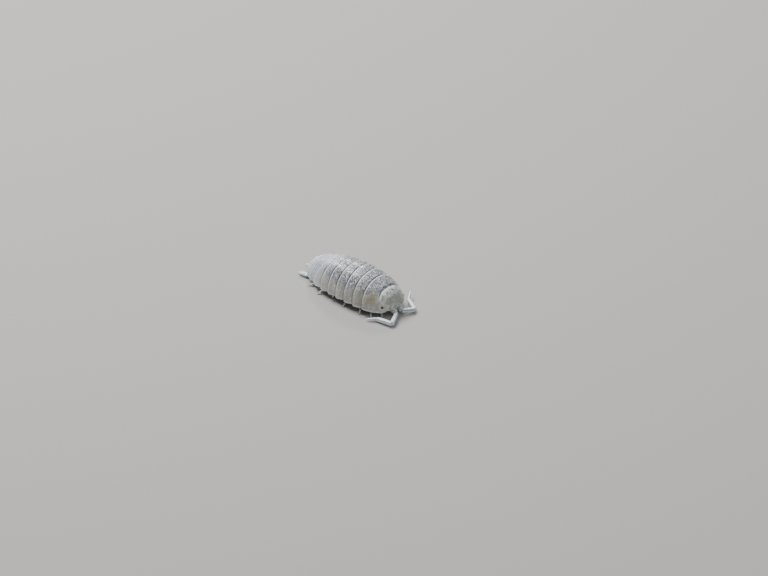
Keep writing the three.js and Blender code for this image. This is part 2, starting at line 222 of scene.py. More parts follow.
# %% [markdown]
# ## The body's outline
# Seen from above the body is a long oval, and seen from the side a low dome that falls to the head and to
# the tail. It could be read from the solid model's mesh, but a few functions give a smooth outline at every
# point. They are the same ones, with the same sizes, as the solid model's, so the plates lie where it does.

# %% Outline of the body
BODY_FRONT = 2.55
BODY_REAR = -2.6
HALF_WIDTH = 1.06
WIDEST_X = 0.6
BACK_HEIGHT = 1.55
LOW_BACK = 0.2
HIGHEST_X = 0.2
FRONT_MARGIN = 0.28
REAR_MARGIN = 0.19
ARCH_POWER = 2.2


def smoothstep(value, low, high):
    t = min(max((value - low) / (high - low), 0.0), 1.0)
    return t * t * (3 - 2 * t)


def swell(distance, reach, power, fall):
    u = min(abs(distance) / reach, 1.0)
    return (1 - u**power) ** fall


def half_width(x):
    if x > WIDEST_X:
        return HALF_WIDTH * swell(x - WIDEST_X, BODY_FRONT - WIDEST_X, 3, 0.5)
    return HALF_WIDTH * swell(x - WIDEST_X, WIDEST_X - BODY_REAR, 2.6, 0.8)


def margin(x):
    return FRONT_MARGIN + (REAR_MARGIN - FRONT_MARGIN) * smoothstep(-x, 0.3, 1.7)


def back(x):
    rise = BACK_HEIGHT - LOW_BACK
    if x > HIGHEST_X:
        return LOW_BACK + rise * swell(x - HIGHEST_X, BODY_FRONT + 0.1 - HIGHEST_X, 2.4, 0.5)
    return LOW_BACK + rise * swell(x - HIGHEST_X, HIGHEST_X - BODY_REAR, 2.6, 0.68)


for x in (-2, -1, 0, 1, 2):
    print("x", x, "half width", round(half_width(x), 3), "back height", round(back(x), 3))

# %% [markdown]
# ## Making a sheet or a tube from a grid
# Most pieces here are a grid primitive whose points are moved to their places: open for a plate, or rolled
# up and sewn for a limb. They could be cut from spheres and cylinders, but a grid keeps even quads, which
# take the fine relief and the smooth shading well, and each point knows how far along and across it lies.


# %% Grid helper
def choose(*pieces):
    bpy.ops.object.select_all(action="DESELECT")
    for piece in pieces:
        piece.select_set(True)
    bpy.context.view_layer.objects.active = pieces[0]


def edit(piece, steps):
    choose(piece)
    bpy.ops.object.mode_set(mode="EDIT")
    bpy.ops.mesh.select_mode(type="VERT")
    bpy.ops.mesh.select_all(action="SELECT")
    steps()
    bpy.ops.object.mode_set(mode="OBJECT")


def modify(piece, kind, **settings):
    choose(piece)
    bpy.ops.object.modifier_add(type=kind)
    modifier = piece.modifiers[-1]
    for key, value in settings.items():
        setattr(modifier, key, value)
    bpy.ops.object.modifier_apply(modifier=modifier.name)


def ball(name, segments, rings):
    bpy.ops.object.select_all(action="DESELECT")
    bpy.ops.mesh.primitive_uv_sphere_add(segments=segments, ring_count=rings, radius=1)
    piece = bpy.context.object
    piece.name = name
    return piece


def grid(name, rows, columns, at):
    bpy.ops.object.select_all(action="DESELECT")
    bpy.ops.mesh.primitive_grid_add(x_subdivisions=rows, y_subdivisions=columns, size=2)
    piece = bpy.context.object
    piece.name = name
    for vert in piece.data.vertices:
        vert.co = at((vert.co.x + 1) / 2, (vert.co.y + 1) / 2)
    return piece


def face_out(piece):
    edit(piece, lambda: bpy.ops.mesh.normals_make_consistent(inside=False))


def close_up():
    bpy.ops.mesh.remove_doubles(threshold=1e-8)
    bpy.ops.mesh.select_all(action="DESELECT")
    bpy.ops.mesh.select_non_manifold()
    bpy.ops.mesh.fill_holes(sides=0)
    bpy.ops.mesh.select_all(action="SELECT")
    bpy.ops.mesh.normals_make_consistent(inside=False)


def finish_piece(piece, finish, slot, *nodes):
    piece.data.materials.clear()
    piece.data.materials.append(finish)
    choose(piece)
    bpy.ops.object.shade_smooth_by_angle(angle=math.radians(50))
    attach(piece, "root")
    if nodes:
        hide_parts(*nodes)
    print(piece.name, len(piece.data.polygons), "faces")


# %% [markdown]
# ## Shell finish
# The living shell is white and a little see-through. Grey muscles and organs show as mottling along the
# back, yellow-brown gut glands show in both flanks behind the head, and the tail end is smooth, bluish and
# brightest. The mottling could be painted, but noise in the body's own coordinates fits every plate and
# scale without a seam. Each plate ends in a fine pale rim, made brighter on the back as a painted highlight,
# and a thin painted shadow line lies on the next plate where it slips out from under that rim, with painted
# shade fading back from it. Both follow the plate's own edges, so each plate carries them as attributes.
# The far side gets painted shade, and pale specks are partly painted glints of light.


# %% Shell finish
GLANDS = [(1.75, 0.25, 1.0), (1.24, 0.1, 0.8), (0.8, 0.09, 0.7), (0.34, 0.07, 0.4)]
# pale rim colour: a real pale margin, partly brightened as a painted highlight
RIM_AND_HIGHLIGHT_WHITE = rgb(0.95, 0.96, 0.97)
GLAND_BROWN = rgb(0.35, 0.285, 0.125)
TAIL_BLUE = rgb(0.76, 0.85, 0.95)
GRAIN_DARK = rgb(0.07, 0.075, 0.09)
# painted shadow colour for the thin dark line behind each plate's rim
SEAM_SHADOW = rgb(0.04, 0.04, 0.05)


def shell_finish(name, flank, upper, gut):
    finish, tree, shader, coords = new_finish(name)
    parts = coords.node("ShaderNodeSeparateXYZ", Vector=coords)
    x_mm, y_mm, z_mm = [Wire(tree, parts.socket.node.outputs[i]) / MM - ORIGIN[i] / MM for i in range(3)]
    # first attribute: pale margins, partly a painted highlight; second: painted shade and a painted shadow
    # line
    pale_rim_and_highlight = coords.node("ShaderNodeAttribute", {"attribute_name": "pale_rim_and_highlight"}, out=2)
    seam_shade = coords.node("ShaderNodeAttribute", {"attribute_name": "seam_shade"}, out=2)
    cloud = noise_of(coords, 2400, 4.0, 0.6)
    blotch = noise_of(coords, 800, 2.0, 0.5)
    grain = noise_of(coords, 10500, 4.0, 0.72)
    speck = noise_of(coords, 15000, 3.0, 0.7)
    down = coords.node("ShaderNodeCombineXYZ", X=x_mm * 5.5, Y=y_mm * 0.8, Z=z_mm * 0.8)
    streak = noise_of(down, 1.6, 2.0, 0.5)
    high = z_mm.smooth(0.72, 1.2)
    tail = (0 - x_mm).smooth(0.2, 1.15)
    clear = (0 - x_mm).smooth(0.1, 1.6)
    base = high.blend(rgb(*flank), rgb(*upper))
    base = (streak.smooth(0.42, 0.62) * (1 - high) * 0.6).blend(base, rgb(0.8, 0.79, 0.74))
    base = (blotch.smooth(0.48, 0.64) * (1 - high) * (1 - tail) * 0.5).blend(base, rgb(0.33, 0.33, 0.3))
    grey = cloud.smooth(0.42, 0.58) * high * (1 - clear * 0.9)
    base = (grey * 0.5).blend(base, rgb(0.26, 0.27, 0.3))
    # painted shade: the far side (positive y) is darkened, less towards the tail
    base = (y_mm.smooth(-0.1, 0.65) * (1 - tail) * 0.3).blend(base, rgb(0.2, 0.2, 0.205))
    cool = tail * (1 - (0 - y_mm).smooth(0.3, 0.8) * (1 - (0 - x_mm).smooth(0.9, 1.5)) * 0.7)
    base = (cool * 0.9).blend(base, TAIL_BLUE)
    low_band = z_mm.smooth(0.38, 0.58) * (1 - z_mm.smooth(0.8, 1.1)) * (1 - (0 - x_mm).smooth(1.2, 1.8))
    base = (low_band * tail * streak.smooth(0.3, 0.6) * 0.5).blend(base, rgb(0.6, 0.55, 0.42))
    side = coords.sum("ABSOLUTE", y_mm).smooth(0.35, 0.6)
    side = side * z_mm.smooth(0.5, 0.75) * (1 - z_mm.smooth(1.05, 1.28))
    patches = 0
    for middle, reach, depth in GLANDS:
        away = coords.sum("ABSOLUTE", x_mm - middle)
        patches = patches + (1 - away.smooth(reach * 0.5, reach)) * depth
    stripe = noise_of(down, 4.2, 1.0, 0.5)
    gland = side * patches * streak.smooth(0.1, 0.6) * (0.65 + stripe.smooth(0.4, 0.6) * 0.45) * gut
    gland = coords.sum("MINIMUM", gland, 1.0)
    plain = 1 - gland * 0.8
    base = (gland * 0.85).blend(base, GLAND_BROWN)
    # painted shade fading back from the front of each plate, stronger on the back
    base = (seam_shade * 0.5 * (0.35 + high * 0.65) * (1 - tail * 0.5)).blend(base, rgb(0.16, 0.16, 0.17))
    dark = (1 - grain).smooth(0.42, 0.6) * (0.22 + high * 0.78) * (1 - clear * 0.9) * plain
    base = (dark * 0.85).blend(base, GRAIN_DARK)
    # pale grains, partly painted glints of light, strongest on the top of the back
    pale_specks_and_glints = speck.smooth(0.51, 0.64) * (0.25 + high * 0.7) * (1 - tail * 0.5) * plain
    base = pale_specks_and_glints.blend(base, rgb(0.96, 0.97, 0.98))
    if name == "head_shell":
        cheek = coords.sum("ABSOLUTE", y_mm).smooth(0.42, 0.62) * (1 - z_mm.smooth(0.6, 0.85))
        base = (cheek * 0.6).blend(base, rgb(0.7, 0.69, 0.6))
        # painted highlight: white specks on the crown behind the collar stand for glints of light
        crown_highlight = x_mm.smooth(1.98, 2.06) * (1 - x_mm.smooth(2.2, 2.34)) * z_mm.smooth(0.85, 1.0)
        base = (crown_highlight * speck.smooth(0.48, 0.56) * 0.55).blend(base, rgb(0.93, 0.95, 0.98))
    # painted shadow: thin dark line where a plate comes out from under the rim ahead
    shadow_line = seam_shade.smooth(0.55, 0.95) * (0.25 + high * 0.75) * (1 - tail * 0.4)
    base = (shadow_line * 0.92).blend(base, SEAM_SHADOW)
    edge = (1 - z_mm.smooth(0.28, 0.42)) * 0.5
    base = edge.blend(base, rgb(0.8, 0.84, 0.87))
    # pale rims, brighter on the back: real pale margin, partly painted as a highlight
    base = (pale_rim_and_highlight * (0.5 + high * 0.4)).blend(base, RIM_AND_HIGHLIGHT_WHITE)
    relief = grain * 0.6 + noise_of(coords, 30000, 2.0, 0.5) * 0.4
    feed(tree, shader, coords, base, 0.34 + grain * 0.25, relief, 0.000016)
    shader.inputs["Subsurface Weight"].default_value = 0.3
    shader.inputs["Subsurface Radius"].default_value = (1.0, 0.95, 0.85)
    shader.inputs["Subsurface Scale"].default_value = 0.0001
    shader.inputs["Coat Weight"].default_value = 0.5
    shader.inputs["Coat Roughness"].default_value = 0.2
    shader.inputs["Sheen Weight"].default_value = 0.15
    return finish


SHELL = shell_finish("shell", (0.49, 0.47, 0.39), (0.32, 0.34, 0.37), 0.9)
HEAD_SHELL = shell_finish("head_shell", (0.4, 0.41, 0.34), (0.34, 0.36, 0.33), 0.15)
print("finishes:", SHELL.name, HEAD_SHELL.name)


# %% [markdown]
# ## Limb, belly and eye finishes
# A feeler is glassy: its outline is pale, and a dull core of flesh shows between. A see-through skin over a
# solid core would need two pieces, so the core is a darker band along the slanting upper part of the same
# tube, found from how much its surface faces upwards. Legs and belly have the same finish in duller
# colours, and the eye is black.


# %% Limb and eye finishes
def limb_finish(name, pale, core):
    finish, tree, shader, coords = new_finish(name)
    cloud = noise_of(coords, 7000, 3.0, 0.6)
    fine = noise_of(coords, 26000, 2.0, 0.6)
    surface_way = coords.node("ShaderNodeNewGeometry", out=1)
    upward = coords.node("ShaderNodeSeparateXYZ", out=2, Vector=surface_way)
    flesh = upward.smooth(0.0, 0.4) * (1 - upward.smooth(0.6, 0.9))
    base = (flesh * cloud.smooth(0.22, 0.52) * 0.9).blend(rgb(*pale), rgb(*core))
    base = (fine.smooth(0.55, 0.75) * 0.4).blend(base, rgb(0.9, 0.93, 0.96))
    feed(tree, shader, coords, base, 0.42 + fine * 0.25, fine * 0.5 + cloud * 0.5, 0.00001)
    shader.inputs["Subsurface Weight"].default_value = 0.45
    shader.inputs["Subsurface Radius"].default_value = (0.9, 0.95, 1.0)
    shader.inputs["Subsurface Scale"].default_value = 0.00005
    shader.inputs["Sheen Weight"].default_value = 0.5
    shader.inputs["Sheen Roughness"].default_value = 0.25
    shader.inputs["Coat Weight"].default_value = 0.12
    shader.inputs["Coat Roughness"].default_value = 0.3
    return finish


LIMB = limb_finish("limb_shell", (0.86, 0.91, 0.96), (0.26, 0.29, 0.32))
LEG_SHELL = limb_finish("leg_shell", (0.78, 0.78, 0.74), (0.42, 0.41, 0.37))
BELLY = limb_finish("belly_skin", (0.6, 0.58, 0.52), (0.48, 0.45, 0.38))
CLAW = limb_finish("claw_horn", (0.22, 0.12, 0.06), (0.1, 0.05, 0.03))

EYE, eye_tree, eye_shader, eye_coords = new_finish("eye_black")
eye_cloud = noise_of(eye_coords, 9000)
eye_base = eye_cloud.blend(rgb(0.006, 0.005, 0.005), rgb(0.02, 0.014, 0.012))
eye_tree.links.new(eye_base.socket, eye_shader.inputs["Base Color"])
eye_shader.inputs["Roughness"].default_value = 0.16
eye_shader.inputs["Coat Weight"].default_value = 0.6
print("finishes:", LIMB.name, LEG_SHELL.name, BELLY.name, CLAW.name, EYE.name)

# %% [markdown]
# ## Back plates
# A back plate is one thin arched sheet. Its front edge slips under the plate ahead, its hind edge lies over
# the next one, and its lower corners are rounded lobes that point backwards. Seven large plates cover the
# legs and five small ones the tail. They could be bands cut from one dome, but then none would lie over the
# next. So each is its own grid laid over the body's outline, given a wall by Solidify and rounded edges by
# Bevel. A row below gives a plate's node and its front and rear. Then come the backward sweep of its lower
# corners, its share of the body's width and its lift off the floor, each at its front and at its rear.

# %% Sizes of the back plates
PLATES = [
    ("pereonite_2", 1.42, 0.96, 0.0, 0.02, 1, 1, 0, 0),
    ("pereonite_3", 0.96, 0.49, 0.02, 0.04, 1, 1, 0, 0),
    ("pereonite_4", 0.49, 0.05, 0.04, 0.07, 1, 1, 0, 0),
    ("pereonite_5", 0.05, -0.38, 0.07, 0.11, 1, 1, 0, 0),
    ("pereonite_6", -0.38, -0.78, 0.11, 0.19, 1, 1, 0, 0),
    ("pereonite_7", -0.78, -1.15, 0.19, 0.34, 1, 1, 0, 0),
    ("pleonite_1", -1.15, -1.29, 0.34, 0.32, 0.96, 0.96, 0.05, 0.05),
    ("pleonite_2", -1.29, -1.43, 0.32, 0.29, 0.96, 0.97, 0.05, 0.05),
    ("pleonite_3", -1.43, -1.64, 0.29, 0.26, 0.97, 1, 0.05, 0),
    ("pleonite_4", -1.64, -1.85, 0.26, 0.26, 1, 1, 0, 0),
    ("pleonite_5", -1.85, -2.06, 0.26, 0.16, 1, 1, 0, 0),
]
LONG_PLATE = 0.3
WALL = 0.03
EDGE_ROUNDING = 0.009


def lap_under(length):
    return min(0.08, 0.35 * length)


def arch(x, inset, share, angle, shift, lift=0.0, tall=1.0):
    cosine = math.cos(angle)
    across = math.copysign(abs(cosine) ** (2 / ARCH_POWER), cosine)
    px = x + shift(abs(across) * share)
    up = max(math.sin(angle), 0) ** (2 / ARCH_POWER)
    edge = margin(px) + inset + lift
    top = edge + (back(px) - inset - edge) * tall
    return Vector((px, -(half_width(px) * share - inset) * across, edge + (top - edge) * up))


def plate_at(plate):
    name, front, rear, sweep_front, sweep_rear, share_front, share, lift_front, lift = plate
    lap = lap_under(front - rear)
    size, step = (0.036, 0.07) if front - rear > LONG_PLATE else (0.024, 0.052)

    def at(u, v):
        x = front + lap + (rear - front - lap) * u
        into = (front - x) / (front - rear)
        inset = step - 0.4 * step * smoothstep(into, 0.0, 0.25) - 0.6 * step * smoothstep(into, 0.0, 0.95)
        sweep = sweep_front + (sweep_rear - sweep_front) * max(into, 0)
        wide = share_front + (share - share_front) * smoothstep(into, 0.0, 0.3)
        raised = lift_front + (lift - lift_front) * smoothstep(into, 0.0, 0.3)
        lobe = size * abs(min(max(2 * into - 1, -1), 1)) ** 4
        return arch(x, inset, wide, math.pi * v, lambda f: -sweep * f**3, raised + lobe)

    return at


# two attributes: pale rim with painted highlight, and painted shade with a painted shadow line
def set_marks(piece, marks):
    for number, name in enumerate(("pale_rim_and_highlight", "seam_shade")):
        layer = piece.data.attributes.new(name, "FLOAT", "POINT")
        for index, pair in enumerate(marks):
            layer.data[index].value = pair[number]


def plate_marks(first_u, length):
    def mark(u, v):
        behind = (1 - u) * length
        ahead = max(u - first_u, 0) * length
        # hind rim: pale margin, partly a painted highlight
        pale_rim_and_highlight = 1 - smoothstep(behind, 0.022, 0.045)
        # painted shadow line where the plate comes out, and painted shade fading back from there
        shadow_line = 1 - smoothstep(ahead, 0.055, 0.1)
        shade_from_front = 0.5 * (1 - smoothstep(ahead, 0.0, 0.55 * length))
        lower = 0.7 * (1 - smoothstep(min(v, 1 - v), 0.008, 0.022))
        return max(pale_rim_and_highlight * smoothstep(min(v, 1 - v), 0.0, 0.15), lower), max(shadow_line, shade_from_front)

    return mark


def arched_sheet(name, rows, columns, at, mark):
    marks = []

    def lay(u, v):
        marks.append(mark(u, v))
        return place(*at(u, v))

    piece = grid(name, rows, columns, lay)
    set_marks(piece, marks)
    face_out(piece)
    if piece.data.polygons[len(piece.data.polygons) // 2].normal.z < 0:
        edit(piece, lambda: bpy.ops.mesh.flip_normals())
    modify(piece, "SOLIDIFY", thickness=WALL * MM, offset=-1.0, use_even_offset=True)
    bend = math.radians(60)
    modify(piece, "BEVEL", width=EDGE_ROUNDING * MM, segments=2, limit_method="ANGLE", angle_limit=bend)
    return piece


# %% Back plates
COATED = []
for plate in PLATES:
    node, front, rear = plate[:3]
    shape = plate_at(plate)
    lap = lap_under(front - rear)
    length = front - rear + lap
    front_seam = (lap + 0.015) / length
    mark = plate_marks(front_seam, length)
    sheet = arched_sheet("plate_" + node, 44 if front - rear > LONG_PLATE else 26, 84, shape, mark)
    finish_piece(sheet, SHELL, "shell", node)
    COATED.append((shape, front_seam, length, mark))

# %% [markdown]
# ## First back plate and last plate
# The first plate is the longest. Its front edge is hollowed for the head, and its lower corners reach
# forward beside it like a collar. The last plate narrows and falls to a blunt tip between the tail limbs.
# Neither fits the rule of the others, so each has its own function, and the last one a table of stations:
# the place, the inset from the body's outline, the shares of its width and height, and the sweep.

# %% First back plate
COLLAR_FRONT = 1.95
COLLAR_REAR = 1.42
COLLAR_LENGTH = 0.53
COLLAR_REACH = 0.4


def collar_at(u, v):
    x = COLLAR_FRONT + (COLLAR_REAR - COLLAR_FRONT) * u
    reach = COLLAR_REACH * (1 - smoothstep(u, 0.0, 0.6))
    inset = 0.035 * (1 - smoothstep(u, 0.0, 0.12)) + 0.004
    lobe = 0.04 * max(2 * u - 1, 0) ** 4
    return arch(x, inset, 1.0, math.pi * v, lambda f: reach * f**7, lobe)


def collar_mark(u, v):
    pale_rim_and_highlight, seam_shade = plate_marks(0.0, COLLAR_LENGTH)(u, v)
    side = 1 - smoothstep(min(v, 1 - v), 0.27, 0.36)
    # pale band along the front edge beside the head, partly a painted highlight
    front = smoothstep(u, 0.0, 0.03) * (1 - smoothstep(u, 0.05, 0.08)) * side
    return max(pale_rim_and_highlight, front), 0.5 * seam_shade * (1 - side)


collar = arched_sheet("plate_pereonite_1", 48, 96, collar_at, collar_mark)
finish_piece(collar, SHELL, "shell", "pereonite_1")
COATED.append((collar_at, 0.04, COLLAR_LENGTH, collar_mark))

# %% Last plate
TAIL_SEAM = 0.2
TAIL_LENGTH = 0.6
TAIL_PLATE = [
    (-1.99, 0.07, 1.0, 1.0, 0.16),
    (-2.06, 0.07, 1.0, 1.0, 0.16),
    (-2.1, 0.05, 0.97, 1.0, 0.16),
    (-2.2, 0.03, 0.84, 0.92, 0.08),
    (-2.3, 0.02, 0.7, 0.8, 0.0),
    (-2.4, 0.01, 0.52, 0.62, 0.0),
    (-2.48, 0.01, 0.4, 0.42, 0.0),
    (-2.52, 0.01, 0.25, 0.2, 0.0),
]


def tail_plate_at(u, v):
    t = u * (len(TAIL_PLATE) - 1)
    span = min(int(t), len(TAIL_PLATE) - 2)
    low, high = TAIL_PLATE[span], TAIL_PLATE[span + 1]
    x, inset, share, tall, sweep = [a + (b - a) * (t - span) for a, b in zip(low, high)]
    return arch(x, inset, share, math.pi * v, lambda f: -sweep * f**3, 0, tall)


tail_mark = plate_marks(TAIL_SEAM, TAIL_LENGTH)
tail_plate = arched_sheet("plate_telson", 42, 60, tail_plate_at, tail_mark)
finish_piece(tail_plate, SHELL, "shell", "telson")
COATED.append((tail_plate_at, TAIL_SEAM, TAIL_LENGTH, tail_mark))

# %% [markdown]
# ## Head
# The head is a blunt dome, wider than long. It could be sculpted, but a short formula is easier to repeat.
# It starts as a sphere, squared a little, then gets a low ridge from eye to eye over the face, a swelling
# round each eye, a hollow face where the feelers come out and a shallow furrow across, near the first
# plate.

# %% Head
HEAD = {"x": 1.9, "reach": 0.66, "half": 0.775, "z": 0.38, "top": 0.77, "bottom": 0.13}
EYE_SPOT = (2.25, 0.56)


def head_point(d):
    power = 2.2
    tall = HEAD["top"] if d.z > 0 else HEAD["bottom"]
    reach = HEAD["reach"] if d.x > 0 else 0.1
    radius = (abs(d.x) / reach) ** power + (abs(d.y) / HEAD["half"]) ** power + (abs(d.z) / tall) ** power
    point = Vector((HEAD["x"], 0, HEAD["z"])) + d * radius ** (-1 / power)
    outward = Vector((d.x / reach, d.y / HEAD["half"], d.z / tall)).normalized()
    front = smoothstep(point.x, 2.2, 2.42)
    brow = math.exp(-(((point.z - 0.47 - 0.12 * abs(point.y)) / 0.035) ** 2)) * front
    below = smoothstep(point.z, 0.46, 0.36) * front
    temple = math.exp(-(((point.x - EYE_SPOT[0]) / 0.12) ** 2) - ((point.z - EYE_SPOT[1]) / 0.12) ** 2)
    furrow = math.exp(-(((point.x - 2.02) / 0.03) ** 2)) * smoothstep(d.z, 0.1, 0.4)
    return point + outward * (0.028 * brow - 0.035 * below + 0.014 * temple - 0.008 * furrow)


# pale band just ahead of the collar, partly a painted highlight, and the painted shadow of the collar's front
# edge on the crown
def head_mark(point):
    across = min(abs(point.y) / max(half_width(point.x), 0.01), 1.0)
    ahead = point.x - COLLAR_FRONT - COLLAR_REACH * across**7
    edge = smoothstep(ahead, 0.045, 0.065) * (1 - smoothstep(ahead, 0.09, 0.12))
    return 0.8 * edge, (1 - smoothstep(ahead, 0.03, 0.06)) * smoothstep(point.z, 0.5, 0.75)


skull = ball("head_dome", 120, 72)
head_marks = []
for vert in skull.data.vertices:
    point = head_point(Vector((vert.co.z, vert.co.y, -vert.co.x)).normalized())
    head_marks.append(head_mark(point))
    vert.co = place(*point)
set_marks(skull, head_marks)
face_out(skull)
finish_piece(skull, HEAD_SHELL, "shell", "head")

# %% [markdown]
# ## Eyes
# Each eye is one small glossy black bead, half sunk in the low swelling at the side of the head. It could
# be a dark spot in the head's finish, but only a real bead stands out and catches the light. Its place
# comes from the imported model.

# %% Eyes
EYE_RADIUS = 0.062
eye_middles = []
for side in ("right", "left"):
    low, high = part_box("eye_" + side)
    middle = (Vector(low) + Vector(high)) / 2
    eye_middles.append((middle - ORIGIN) / MM)
    bead = ball("eye_bead_" + side, 32, 20)
    for vert in bead.data.vertices:
        vert.co = middle + vert.co * EYE_RADIUS * MM
    finish_piece(bead, EYE, "eye", "eye_" + side)

# %% [markdown]
# ## Limbs
# A limb is a row of stiff joints with narrow waists between them. It could be a bevelled curve, but that is
# round everywhere. Each joint is a grid rolled into a tube along a line of stations instead, with five
# faint ribs. A station gives a place, a half width and a half thickness, and a smooth curve runs between
# them.

# %% Tube helper
RIBS = 5
RIB_HEIGHT = 0.022


def catmull(points, t):
    span = min(int(t), len(points) - 2)
    f = t - span
    p1, p2 = points[span], points[span + 1]
    p0 = points[span - 1] if span > 0 else p1 + (p1 - p2)
    p3 = points[span + 2] if span + 2 < len(points) else p2 + (p2 - p1)
    return 0.5 * ((2 * p1) + (p2 - p0) * f + (2 * p0 - 5 * p1 + 4 * p2 - p3) * f**2
                  + (3 * p1 - p0 - 3 * p2 + p3) * f**3)


def tube_shape(stations, wide_axis=Vector((0, 0, 1))):
    spots = [Vector(s[0]) for s in stations]
    wides = [Vector((s[1], s[2] if len(s) > 2 else s[1], 0)) for s in stations]
    last = len(stations) - 1

    def at(u, v):
        t = u * last
        along = catmull(spots, min(t + 0.05, last)) - catmull(spots, max(t - 0.05, 0))
        side = along.normalized().cross(wide_axis).normalized()
        up = side.cross(along.normalized())
        size = catmull(wides, t)
        angle = 2 * math.pi * v
        size = size * (1 + RIB_HEIGHT * math.cos(RIBS * angle))
        return catmull(spots, t) + side * size.x * math.cos(angle) + up * size.y * math.sin(angle)

    return at


def tube(name, stations, around=30, steps=4):
    shape = tube_shape(stations)
    piece = grid(name, (len(stations) - 1) * steps, around, lambda u, v: place(*shape(u, v)))
    edit(piece, close_up)
    return piece


def joint(start, end, root, full, tip, peak=0.6):
    a, b = Vector(start), Vector(end)
    middle = (root + full) / 2
    shape = ((0.0, root * 0.7), (0.05, root), (0.3, middle), (peak, full), (0.94, tip), (1.0, tip * 0.72))
    return [(a.lerp(b, share), radius) for share, radius in shape]


def join(pieces, name):
    choose(*pieces)
    bpy.ops.object.join()
    bpy.context.object.name = name
    return bpy.context.object


# %% Feelers
HAIRY = []
FEELERS = {
    "right": [(2.44, -0.21, 0.34), (2.63, -0.2, 0.22), (2.96, -0.86, 0.16), (2.22, -0.95, 0.13),
              (1.83, -1.25, 0.09)],
    "left": [(2.44, 0.2, 0.34), (2.63, 0.13, 0.2), (2.93, 0.62, 0.15), (2.25, 1.0, 0.15), (1.97, 1.46, 0.3)],
}
for side, spots in FEELERS.items():
    root, third, fourth, fifth, tip = [Vector(s) for s in spots]
    joints = [
        joint(root, root.lerp(third, 0.5), 0.09, 0.115, 0.1),
        joint(root.lerp(third, 0.42), third, 0.09, 0.105, 0.085),
        joint(third, fourth, 0.085, 0.098, 0.096),
        joint(fourth, fifth, 0.092, 0.098, 0.088, 0.5),
        joint(fifth, fifth.lerp(tip, 0.32), 0.06, 0.066, 0.058),
        joint(fifth.lerp(tip, 0.31), tip, 0.056, 0.045, 0.012, 0.5),
    ]
    feeler = join([tube("joint", stations) for stations in joints], "feeler_" + side)
    names = ["antenna_%s_%s" % (side, part) for part in ("base", "article_4", "article_5", "flagellum")]
    finish_piece(feeler, LIMB, "limb", *names)
    HAIRY += [(tube_shape(stations), 34 if number in (2, 3) else 12, 0.035)
              for number, stations in enumerate(joints)]

# %% [markdown]
# ## Legs
# Fourteen legs fold out from under the plates. Each has a thick first joint, shorter ones that narrow to
# the foot, and a small brown claw on the floor. All have one shape, so the legs are one table of stations,
# stretched between a root and a foot. A row of the first table gives a root, the sideways bend, and the
# right and left foot. A row of the second gives the share of the way, the share of the root's height, and
# the radius.

# %% Legs
FEET = [
    (1.7, 0.05, (2.2, 0.62), (2.22, 0.66)),
    (1.22, 0.05, (1.86, 0.93), (1.72, 0.98)),
    (0.74, 0.05, (1.31, 1.02), (1.16, 1.0)),
    (0.3, 0.05, (0.4, 1.04), (0.5, 1.05)),
    (-0.14, 0.05, (-0.42, 0.84), (-0.5, 1.0)),
    (-0.56, -0.02, (-1.05, 1.02), (-1.16, 0.98)),
    (-0.93, -0.07, (-1.78, 0.76), (-1.7, 0.82)),
]
LEG = [(0.06, 0.97, 0.066), (0.22, 0.9, 0.086), (0.37, 0.81, 0.07), (0.4, 0.79, 0.056), (0.47, 0.74, 0.068),
       (0.53, 0.7, 0.056), (0.6, 0.64, 0.064), (0.66, 0.58, 0.05), (0.73, 0.51, 0.057), (0.8, 0.42, 0.038),
       (0.88, 0.27, 0.041), (0.95, 0.13, 0.03), (1.0, 0.05, 0.022)]
LEG_ROOT_Y = 0.36
FLATNESS = 0.88
claws = []
for number, (root_x, bend, *feet) in enumerate(FEET, 1):
    for side, sign, (foot_x, foot_y) in (("right", -1, feet[0]), ("left", 1, feet[1])):
        out = Vector((foot_x - root_x, sign * (foot_y - LEG_ROOT_Y), 0))
        belly = margin(root_x) + (back(root_x) - margin(root_x)) * 0.134 - 0.09
        aside = Vector((-out.y, out.x, 0)).normalized() * -sign * bend
        stations = []
        for share, height, radius in LEG:
            spot = Vector((root_x, sign * LEG_ROOT_Y, 0)) + out * share + aside * math.sin(math.pi * share)
            lift = max(belly * height, radius * 0.9)
            stations.append((spot + Vector((0, 0, lift)), radius, radius * FLATNESS))
        leg = tube("leg_shell_%s_%d" % (side, number), stations, around=20, steps=3)
        finish_piece(leg, LEG_SHELL, "limb", "leg_%s_%d" % (side, number))
        HAIRY.append((tube_shape(stations), 26, 0.045))
        foot = stations[-1][0]
        ahead = out.normalized() * 0.03
        bend_of_claw = foot + ahead * 0.5 + Vector((0, 0, -0.003))
        point_of_claw = foot + ahead + Vector((0, 0, 0.007 - foot.z))
        stations = [(foot, 0.018), (bend_of_claw, 0.013), (point_of_claw, 0.003)]
        claws.append(tube("claw", stations, around=8, steps=3))
finish_piece(join(claws, "claws"), CLAW, "limb")

# %% [markdown]
# ## Tail limbs
# Two flat limbs stand out behind, each with a broad base, a long outer branch and a thin inner one, with a
# few fine hairs. They are tubes too, wider than thick, because each part tapers on its own line. The table
# gives the side, how much longer the outer branch is, and how far it leans out.

